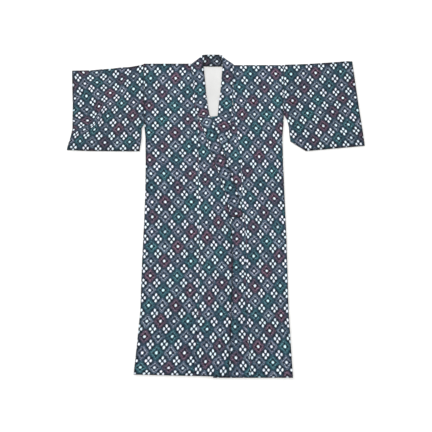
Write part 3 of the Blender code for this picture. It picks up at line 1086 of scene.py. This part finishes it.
# What varies over the cloth, by a noise of so many repeats to the metre: the noise's detail, the
# range that counts of it, and the values that this gives
Uneven = namedtuple("Uneven", "scale detail low high least most")
# Over 8 mm the dye strays from the pattern, in pitches
STRAY = Uneven(125, 3, *MOST, -0.045, 0.045)
# Over 13 mm some dots are stained, and over 50 mm the dye took poorly
STAIN = Uneven(75, 1, 0.3, 0.55, 0.68, 1)
FAINT = Uneven(20, 3, 0.42, 0.62, 0, 0.7)
# Over 170 mm the cloth is worn, and over 90 mm its age shows in two tints
FADING = Uneven(6, 2, *MOST, 0.94, 1.06)
AGE, AGE_TINTS = Uneven(11, 1, 0.35, 0.65, 0, 1), ("#f6f6ff", "#ecfbff")
# Over 6 mm the ground is mottled
MOTTLE_SCALE = 170
# Painted shade on the rims and folds: between these values of their shade value, how much light they
# keep
RIM_SHADE_RANGE = (0.4, 0.8, 0.6, 1)
# Plain weave, drawn at 1.2 mm because the true 0.4 mm thread is too fine to show, on soft waves
# about 17 mm long
THREAD_STEP, SOFT_WAVES = 0.0012, 60
# The lining's streaks, drawn 1.1 mm wide for the same reason, and its shade over 110 mm
LINING_STREAKS, LINING_SHADE = (900, 60, 1), Uneven(9, 3, *MOST, 0.93, 1.03)
# The sewing thread is twisted once in 0.7 mm
TWISTS = 1500


def in_cell(node, place_at):
    """How far it is across and along from the middle of a cell, in shares of a pitch."""
    share = node(VECTOR, place_at, operation="FRACTION")
    share = node(VECTOR, share, (0.5, 0.5, 0), operation="SUBTRACT")
    return node(VECTOR, share, operation="ABSOLUTE")


def uneven(node, where, how):
    """A value that varies over the cloth, by its row of numbers above."""
    found = node(NOISE, where, how.scale, how.detail)
    return node(RANGE, found, how.low, how.high, how.least, how.most)


def nearest(node, here, points):
    """How far it is to the nearest of the points."""
    found, *others = [node(VECTOR, here, (*point, 0), operation="DISTANCE") for point in points]
    for other in others:
        found = node(MATH, found, other, operation="MINIMUM")
    return found


def ikat_surface(node):
    """Cells of colour with undyed dots, flowers and lines, their threads slipped and streaked."""
    silk = bpy.context.scene.kimono_silk
    dark = (*silk.dark, 1)
    cloth = node("ShaderNodeUVMap", uv_map="Cloth")
    pitches = {"Scale": (1 / silk.pitch_across, -1 / silk.pitch_along, 1)}
    even = node(MAPPING, cloth, named=pitches)
    warp_way = node(MAPPING, cloth, named={"Scale": WARP_BUNDLES})
    weft_way = node(MAPPING, cloth, named={"Scale": WEFT_BUNDLES})
    warp = node(NOISE, warp_way, 1, 2)
    weft = node(NOISE, weft_way, 1, 2)
    slip = node("ShaderNodeCombineXYZ", weft, warp)
    slip = node(VECTOR, slip, (0.5, 0.5, 0), operation="SUBTRACT")
    dot_slip = node(VECTOR, slip, silk.feather, operation="SCALE")
    inside = in_cell(node, node(VECTOR, even, dot_slip, operation="ADD"))
    # The lines are finer than the dots, so the same creeping blurs and breaks them more
    line_slip = node(VECTOR, slip, LINE_SLIP * silk.feather, operation="SCALE")
    line_place = node(VECTOR, even, line_slip, operation="ADD")
    cell = node(VECTOR, line_place, operation="FLOOR")
    away = node(VECTOR, in_cell(node, line_place), (1, 1, 0), operation="DOT_PRODUCT")
    away = node(MATH, away, uneven(node, cloth, STRAY), operation="ADD")

    # The single dot in the middle of a cell, and the petals of a flower at each corner
    across, along = silk.pitch_across / MM, silk.pitch_along / MM
    stretched = (across * DOT_STRETCH[0], along * DOT_STRETCH[1], 0)
    from_dot = node(VECTOR, inside, stretched, operation="MULTIPLY")
    from_dot = node(VECTOR, from_dot, operation="LENGTH")
    dot = node(RANGE, from_dot, *DOT_EDGE, 1, 0, **SOFT)
    stretched = (across * PETAL_STRETCH[0], along * PETAL_STRETCH[1], 0)
    from_corner = node(VECTOR, (0.5, 0.5, 0), inside, operation="SUBTRACT")
    from_corner = node(VECTOR, from_corner, stretched, operation="MULTIPLY")
    petals = ((PETAL_BESIDE * stretched[0], 0), (0, PETAL_ABOVE * stretched[1]))
    from_petal = nearest(node, from_corner, petals)
    petal = node(RANGE, from_petal, *PETAL_EDGE, 1, 0, **SOFT)

    order = node(VECTOR, cell, (1, 1, 0), operation="DOT_PRODUCT")
    order = node(MATH, order, COLOUR_CYCLE, operation="FLOORED_MODULO")
    maroon = node(MATH, order, MAROON_TURN, 0.3, operation="COMPARE")
    teal = node(MATH, order, TEAL_TURN, 0.3, operation="COMPARE")
    colour = node(RAMP, away, stops=GREY_DIAMOND)
    for share, stops in ((maroon, MAROON_DIAMOND), (teal, TEAL_DIAMOND)):
        colour = node(MIX, share, colour, node(RAMP, away, stops=stops), **COLOURS)
    shadow = node(RANGE, from_petal, *SHADOW_EDGE, DARKNESS, 0, **SOFT)
    near_flower = node(RANGE, away, *SHADOW_START, 0, 1, **SOFT)
    shadow = node(MATH, shadow, near_flower, operation="MULTIPLY")
    colour = node(MIX, shadow, colour, dark, **COLOURS)
    # Where the dye took poorly, the lines and colours of a cell fade into the ground
    faint = uneven(node, cloth, FAINT)
    colour = node(MIX, faint, colour, (*silk.ground, 1), **COLOURS)
    sized = node(VECTOR, inside, (across, along, 0), operation="MULTIPLY")
    from_point = nearest(node, sized, [(x * across, y * along) for x, y in DARK_POINTS])
    points = node(RANGE, from_point, *DARK_EDGE, DARKNESS, 0, **SOFT)
    colour = node(MIX, points, colour, dark, **COLOURS)

    # Uneven dye in the ground, and the streaks of single threads
    mottling = Uneven(MOTTLE_SCALE, 2, *MOST, 1 - silk.mottle, 1 + silk.mottle)
    warp_thread = node(NOISE, warp_way, 2, 2, 0.7)
    weft_thread = node(NOISE, weft_way, 2, 2, 0.7)
    streak = node(MATH, warp_thread, weft_thread, operation="ADD")
    streak = node(RANGE, streak, *MOST_OF_TWO, *STREAKS)
    tone = node(MATH, uneven(node, cloth, mottling), streak, operation="MULTIPLY")
    # The ground is darkened by each point's painted shade at rims and folds and its piece's darkening
    dye = node("ShaderNodeAttribute", attribute_name="Dye", out=2)
    tone = node(MATH, tone, dye, operation="MULTIPLY")
    colour = node(VECTOR, colour, tone, operation="SCALE")

    # The undyed dots, some of them stained, their edges in the colour of their cell
    dots = node(MATH, dot, petal, operation="MAXIMUM")
    dots = node(MATH, dots, uneven(node, cloth, STAIN), operation="MULTIPLY")
    stained = node(MATH, teal, dot, operation="MULTIPLY")
    white = node(MIX, stained, (*silk.white, 1), (*silk.teal_white, 1), **COLOURS)
    colour = node(MIX, dots, colour, white, **COLOURS)

    # Broad fading from wear, two tints of age, and the painted shade of rims and folds, on the dots
    # too
    rim_shade_factor = node(RANGE, dye, *RIM_SHADE_RANGE)
    fading_and_rim_shade = node(MATH, uneven(node, cloth, FADING), rim_shade_factor, operation="MULTIPLY")
    tints = [(*linear(tint), 1) for tint in AGE_TINTS]
    tint = node(MIX, uneven(node, cloth, AGE), *tints, **COLOURS)
    colour = node(VECTOR, colour, tint, operation="MULTIPLY")
    colour = node(VECTOR, colour, fading_and_rim_shade, operation="SCALE")

    turns = 2 * math.pi / THREAD_STEP
    crossing = []
    for way in node(SEPARATE, cloth, out=slice(2)):
        wave = node(MATH, way, turns, operation="MULTIPLY")
        crossing.append(node(MATH, wave, operation="SINE"))
    weave = node(MATH, *crossing, operation="MULTIPLY")
    height = node(MATH, weave, 0.5, streak, operation="MULTIPLY_ADD")
    soft = node(NOISE, cloth, SOFT_WAVES, 3)
    height = node(MATH, soft, 3, height, operation="MULTIPLY_ADD")
    relief = {"Strength": 0.25, "Distance": 0.0006, "Height": height}
    return colour, node(BUMP, named=relief)


def ikat_silk():
    """Silk whose threads were tied and dyed before weaving.

    The dye creeps along the tied threads, so each dot and line has a feathered edge. The cloth
    is soft and nearly matt.
    """
    finish = {
        "Roughness": 0.68, "Specular IOR Level": 0.12, "Sheen Weight": 0.03,
        "Sheen Roughness": 0.4,
    }
    return material("Ikat-dyed silk, plain weave", finish, ikat_surface)


def lining_surface(node):
    """Slightly uneven white with fine streaks."""
    cloth = node("ShaderNodeUVMap", uv_map="Cloth")
    warp_way = node(MAPPING, cloth, named={"Scale": LINING_STREAKS})
    streak = node(NOISE, warp_way, 1, 2)
    fine = node(RANGE, streak, *MOST, 0.97, 1.03)
    shade = node(MATH, uneven(node, cloth, LINING_SHADE), fine, operation="MULTIPLY")
    white = tuple(bpy.context.scene.kimono_silk.lining)
    colour = node(VECTOR, white, shade, operation="SCALE")
    relief = {"Strength": 0.2, "Distance": 0.0005, "Height": streak}
    return colour, node(BUMP, named=relief)


def lining_silk():
    """Undyed habutae silk, plain weave: smooth, thin and with a slight gloss."""
    finish = {"Roughness": 0.55, "Specular IOR Level": 0.35, "Sheen Weight": 0.1}
    return material("Undyed silk lining, plain weave", finish, lining_surface)


def thread_surface(node):
    """Light and dark turns of the twist."""
    here = node("ShaderNodeTexCoord", out=3)
    twist = node(NOISE, here, TWISTS, 1)
    shade = node(RANGE, twist, *MOST, 0.8, 1.3)
    thread = tuple(bpy.context.scene.kimono_silk.thread)
    colour = node(VECTOR, thread, shade, operation="SCALE")
    relief = {"Strength": 0.3, "Distance": 0.0002, "Height": twist}
    return colour, node(BUMP, named=relief)


def sewing_silk():
    """Twisted silk sewing thread, dyed to match the ground."""
    return material("Silk sewing thread, twisted", {"Roughness": 0.5}, thread_surface)


class KIMONO_OT_body(bpy.types.Operator):
    """Makes the two body widths, each the front and back in one length"""

    bl_idname = "kimono.body"
    bl_label = "Body"

    def execute(self, context):
        for name, front, side, shoulder, weave in (
            ("body_left", upper_front, -1, SHOULDER_LEFT, LEFT_FRONT_WEAVE),
            ("body_right", lower_front, 1, SHOULDER_RIGHT, RIGHT_FRONT_WEAVE),
        ):
            obj = body_strip(name + "_cloth", front, side, shoulder, weave)
            dress(obj, name, ikat_silk(), lining_silk())
        return {"FINISHED"}


class KIMONO_OT_overlaps(bpy.types.Operator):
    """Makes the overlap panel of each front"""

    bl_idname = "kimono.overlaps"
    bl_label = "Overlap panels"

    def execute(self, context):
        obj = panel(
            "okumi_lower_cloth", lower_overlap, chart(LOWER_OVERLAP_WEAVE), BODY_CREASES, seam=-1
        )
        dress(obj, "okumi_lower", ikat_silk(), lining_silk())
        obj = panel(
            "okumi_upper_cloth", upper_overlap, chart(UPPER_OVERLAP_WEAVE), OVERLAP_CREASES,
            seam=0,
        )
        dress(obj, "okumi_upper", ikat_silk(), lining_silk())
        return {"FINISHED"}


class KIMONO_OT_collar(bpy.types.Operator):
    """Makes the collar band in its three runs"""

    bl_idname = "kimono.collar"
    bl_label = "Collar"

    def execute(self, context):
        lower_chart, upper_chart = chart(LOWER_BAND_WEAVE), chart(UPPER_BAND_WEAVE)
        for name, piece, cell, dye, seam, below, flat, area in (
            ("collar_lower", lower_band, lower_chart, 1, -1, "neck_lining", (0.06, 0.76), 0.032),
            ("collar_upper", upper_band, upper_chart, 1, 0, "collar_lower", (0.06, 0.78), 0.036),
            # The band behind the neck is darkened as painted shade
            ("collar_nape", nape, nape_cell, NAPE_PAINTED_SHADE, None, "body_left", (0.085, 0.06), 0.0045),
        ):
            obj = panel(name + "_cloth", piece, cell, (), BAND_CROWN, False, dye, seam)
            dress(obj, name, ikat_silk())
        return {"FINISHED"}


class KIMONO_OT_sleeves(bpy.types.Operator):
    """Makes the two sleeves, each a flattened tube"""

    bl_idname = "kimono.sleeves"
    bl_label = "Sleeves"

    def execute(self, context):
        left_chart = flower_chart(LEFT_SLEEVE_FLOWERS, LEFT_SLEEVE_COLUMNS)
        right_chart = chart(RIGHT_SLEEVE_WEAVE)
        for name, rows, lifts, cell, creases in (
            ("sleeve_left", SLEEVE_LEFT, LIFT_LEFT, left_chart, LEFT_SLEEVE_CREASES),
            ("sleeve_right", SLEEVE_RIGHT, LIFT_RIGHT, right_chart, RIGHT_SLEEVE_CREASES),
        ):
            obj = sleeve(name + "_cloth", rows, lifts, cell, creases)
            dress(obj, name, ikat_silk(), lining_silk())
        return {"FINISHED"}


class KIMONO_OT_neck_lining(bpy.types.Operator):
    """Makes the lining that shows in the neck opening"""

    bl_idname = "kimono.neck_lining"
    bl_label = "Neck lining"

    def execute(self, context):
        obj = panel("neck_lining_cloth", lining, plain_cell, lined=False)
        dress(obj, "neck_lining", lining_silk())
        return {"FINISHED"}


# How far inside an edge the stitches of a band, and of a hem, run
BAND_INSET, HEM_INSET = 0.003, 0.005
SEWN_EDGES = (
    ("collar_upper_cloth", "left", BAND_INSET),
    ("collar_upper_cloth", "right", BAND_INSET),
    ("collar_lower_cloth", "right", BAND_INSET),
    ("collar_lower_cloth", "left", BAND_INSET),
    ("okumi_upper_cloth", "right", HEM_INSET),
    ("okumi_upper_cloth", "end", HEM_INSET),
    ("okumi_lower_cloth", "left", HEM_INSET),
    ("okumi_lower_cloth", "end", HEM_INSET),
    ("body_left_cloth", "end", HEM_INSET),
    ("body_right_cloth", "end", HEM_INSET),
    ("sleeve_left_cloth", "right", HEM_INSET),
    ("sleeve_right_cloth", "right", HEM_INSET),
)


def line_along(obj, side, inset):
    """Points on a finished piece, just inside one of its edges."""
    rows, columns = obj["grid"]
    spots = obj.data.vertices
    if side == "end":
        pairs = [((rows - 1, c), (rows - 2, c)) for c in range(1, columns - 1)]
    else:
        rim, next_in = (0, 1) if side == "left" else (columns - 1, columns - 2)
        pairs = [((r, rim), (r, next_in)) for r in range(1, obj.get("top_rows", rows - 1))]
    points = []
    for (r, c), (rr, cc) in pairs:
        edge_spot, next_spot = spots[r * columns + c].co, spots[rr * columns + cc].co
        points.append(edge_spot + (next_spot - edge_spot).normalized() * inset)
    return points


def stitch_tree():
    """Geometry nodes that put small stitches along the edges of a mesh."""
    tree = bpy.data.node_groups.new("Stitches along lines", "GeometryNodeTree")
    sockets = (
        ("Lines", "INPUT", "NodeSocketGeometry"),
        ("Spacing", "INPUT", "NodeSocketFloat"),
        ("Length", "INPUT", "NodeSocketFloat"),
        ("Thread", "INPUT", "NodeSocketFloat"),
        ("Material", "INPUT", "NodeSocketMaterial"),
        ("Stitches", "OUTPUT", "NodeSocketGeometry"),
    )
    for name, way, kind in sockets:
        tree.interface.new_socket(name=name, in_out=way, socket_type=kind)
    node = partial(add, tree)
    lines, spacing, length, thread, silk = node("NodeGroupInput", out=slice(5))
    run = node("GeometryNodeMeshToCurve", lines)
    run = node(
        "GeometryNodeResampleCurve", named={"Curve": run, "Length": spacing}, mode="LENGTH"
    )
    # A stitch is a spindle of 6 by 5 faces: the thread dips into the cloth at both ends
    spindle = {"Segments": 6, "Rings": 5, "Radius": 1.0}
    grain = node("GeometryNodeMeshUVSphere", named=spindle)
    half = node(MATH, length, 0.5, operation="MULTIPLY")
    size = node("ShaderNodeCombineXYZ", thread, thread, half)
    grain = node("GeometryNodeTransform", named={"Geometry": grain, "Scale": size})
    way = node("GeometryNodeInputTangent")
    turn = node("FunctionNodeAlignRotationToVector", named={"Vector": way}, axis="Z")
    uneven = node(
        "FunctionNodeRandomValue", 0.8, 1.15, named={"Seed": 4}, data_type="FLOAT"
    )
    stitch = {"Points": run, "Instance": grain, "Rotation": turn, "Scale": uneven}
    laid = node("GeometryNodeInstanceOnPoints", named=stitch)
    whole = node("GeometryNodeRealizeInstances", laid)
    whole = node("GeometryNodeSetMaterial", named={"Geometry": whole, "Material": silk})
    node("NodeGroupOutput", whole)
    return tree


class KIMONO_OT_sewing(bpy.types.Operator):
    """Sews small stitches along the collar, the front edges, the hems and the cuffs"""

    bl_idname = "kimono.sewing"
    bl_label = "Sewing"

    def execute(self, context):
        sewing = context.scene.kimono_sewing
        points, edges = [], []
        for name, side, inset in SEWN_EDGES:
            line = line_along(bpy.data.objects[name], side, inset)
            edges += [(len(points) + i, len(points) + i + 1) for i in range(len(line) - 1)]
            points += line
        mesh = bpy.data.meshes.new("stitch_lines")
        mesh.from_pydata(points, edges, [])
        lines = bpy.data.objects.new("stitch_lines", mesh)
        context.scene.collection.objects.link(lines)
        modifier = lines.modifiers.new("Stitches", "NODES")
        modifier.node_group = stitch_tree()
        values = {
            "Spacing": sewing.spacing, "Length": sewing.length, "Thread": sewing.thread,
            "Material": sewing_silk(),
        }
        for item in modifier.node_group.interface.items_tree:
            if item.name in values:
                modifier[item.identifier] = values[item.name]
        context.view_layer.update()
        graph = context.evaluated_depsgraph_get()
        sewn = bpy.data.meshes.new_from_object(lines.evaluated_get(graph), depsgraph=graph)
        bpy.data.objects.remove(lines)
        if not sewn.polygons:
            raise RuntimeError("the stitches came out empty")
        sewn.shade_smooth()
        stitches = bpy.data.objects.new("stitches", sewn)
        context.scene.collection.objects.link(stitches)
        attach(stitches, "root")
        return {"FINISHED"}


# The floor and the studio, in metres and watts
FLOOR_REACH, FLOOR_TOP = 6, -0.0004
Light = namedtuple("Light", "name place size power")
LIGHTS = (
    Light("key light", (-0.8, 1.7, 6.6), 2.2, 218),
    Light("low light", (-8.0, 9.0, 5.0), 6.0, 1050),
    Light("fill light", (2.2, -1.8, 4.6), 3.0, 34),
)
SKY_STRENGTH = 0.6
CAMERA_ACROSS = 0.0005


class KIMONO_OT_stage(bpy.types.Operator):
    """Makes the floor, the studio light and the camera"""

    bl_idname = "kimono.stage"
    bl_label = "Floor, light and camera"

    def execute(self, context):
        scene = context.scene
        look = scene.kimono_stage
        mesh = bpy.data.meshes.new("floor")
        corners = ((-1, -1), (1, -1), (1, 1), (-1, 1))
        mesh.from_pydata(
            [(x * FLOOR_REACH, y * FLOOR_REACH, FLOOR_TOP) for x, y in corners], [], [(0, 1, 2, 3)]
        )
        floor = bpy.data.objects.new("floor", mesh)
        scene.collection.objects.link(floor)
        finish = {
            "Base Color": (*linear("#ebebea"), 1), "Roughness": 0.9, "Specular IOR Level": 0.1
        }
        mesh.materials.append(material("White paper floor, matt", finish))

        for light in LIGHTS:
            lamp = bpy.data.lights.new(light.name, "AREA")
            lamp.shape = "DISK"
            lamp.size = light.size
            lamp.energy = light.power
            holder = bpy.data.objects.new(light.name, lamp)
            holder.location = light.place
            holder.rotation_euler = (-Vector(light.place)).to_track_quat("-Z", "Y").to_euler()
            scene.collection.objects.link(holder)
        world = bpy.data.worlds.new("Studio")
        world.use_nodes = True
        sky = world.node_tree.nodes["Background"]
        sky.inputs["Color"].default_value = (1, 1, 1, 1)
        sky.inputs["Strength"].default_value = SKY_STRENGTH
        scene.world = world
        scene.view_settings.view_transform = "Standard"

        eye = bpy.data.cameras.new("camera")
        eye.lens = look.lens
        eye.sensor_width = 36
        eye.clip_end = 50
        camera = bpy.data.objects.new("camera", eye)
        camera.location = (CAMERA_ACROSS, -look.back, look.height)
        camera.rotation_euler = (look.tilt, 0, 0)
        scene.collection.objects.link(camera)
        scene.camera = camera
        return {"FINISHED"}


class KIMONO_PT_panel(bpy.types.Panel):
    """Lists the kimono's pieces and settings"""

    bl_idname = "KIMONO_PT_panel"
    bl_label = "Kimono"
    bl_space_type = "VIEW_3D"
    bl_region_type = "UI"
    bl_category = "Kimono"

    def draw(self, context):
        for group in ("kimono_cloth", "kimono_silk", "kimono_sewing", "kimono_stage"):
            settings = getattr(context.scene, group)
            box = self.layout.box()
            for name in settings.__annotations__:
                box.prop(settings, name)
        for operator in OPERATORS:
            self.layout.operator(operator.bl_idname)


GROUPS = {
    "kimono_cloth": KimonoCloth,
    "kimono_silk": KimonoSilk,
    "kimono_sewing": KimonoSewing,
    "kimono_stage": KimonoStage,
}
OPERATORS = [
    KIMONO_OT_stage,
    KIMONO_OT_body,
    KIMONO_OT_neck_lining,
    KIMONO_OT_overlaps,
    KIMONO_OT_collar,
    KIMONO_OT_sleeves,
    KIMONO_OT_sewing,
]


def register():
    for group in GROUPS.values():
        bpy.utils.register_class(group)
    for name, group in GROUPS.items():
        setattr(bpy.types.Scene, name, PointerProperty(type=group))
    for operator in OPERATORS:
        bpy.utils.register_class(operator)
    bpy.utils.register_class(KIMONO_PT_panel)


def unregister():
    bpy.utils.unregister_class(KIMONO_PT_panel)
    for operator in reversed(OPERATORS):
        bpy.utils.unregister_class(operator)
    for name, group in GROUPS.items():
        delattr(bpy.types.Scene, name)
        bpy.utils.unregister_class(group)


def main():
    register()
    bpy.ops.kimono.stage()
    bpy.ops.kimono.body()
    bpy.ops.kimono.neck_lining()
    bpy.ops.kimono.overlaps()
    bpy.ops.kimono.collar()
    bpy.ops.kimono.sleeves()
    bpy.ops.kimono.sewing()


if __name__ == "__main__":
    main()
